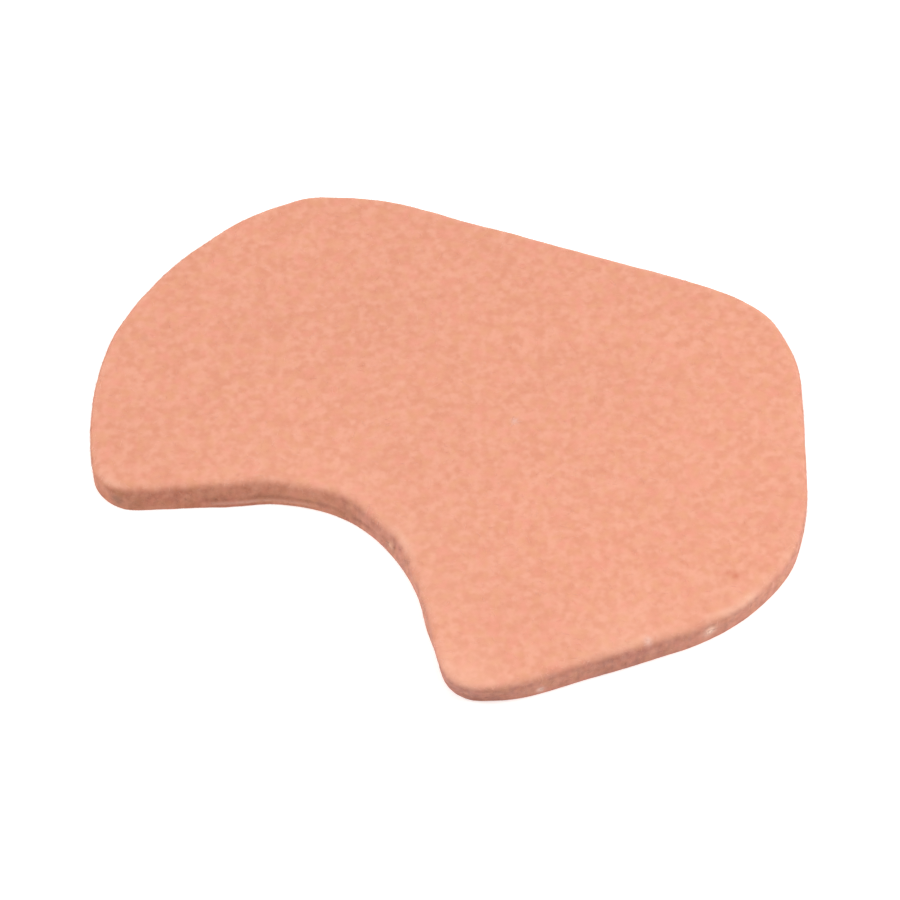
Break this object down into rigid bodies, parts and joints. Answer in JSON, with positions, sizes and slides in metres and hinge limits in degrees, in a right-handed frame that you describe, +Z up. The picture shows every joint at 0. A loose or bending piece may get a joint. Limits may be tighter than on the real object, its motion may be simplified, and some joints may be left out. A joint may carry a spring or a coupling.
{
  "type": "sesamoid pad",
  "caption": "Flat pad of dense felt for under the ball of the foot, with rounded corners and a curved cut-out that keeps pressure off the sesamoid bones.",
  "frame": {"origin": "middle of the pad's box in plan, at the face that it rests on", "axes": "+X from the toe end to the heel end, +Y towards the little toe's side, +Z up through the felt"},
  "size_m": [0.0794, 0.0666, 0.0032],
  "materials": {
    "felt": "dense salmon pink wool felt, finely mottled, matt, with short loose fibres and a soft top edge"
  },
  "bodies": {
    "root": {"felt_pad": "felt"}
  },
  "joints": []
}
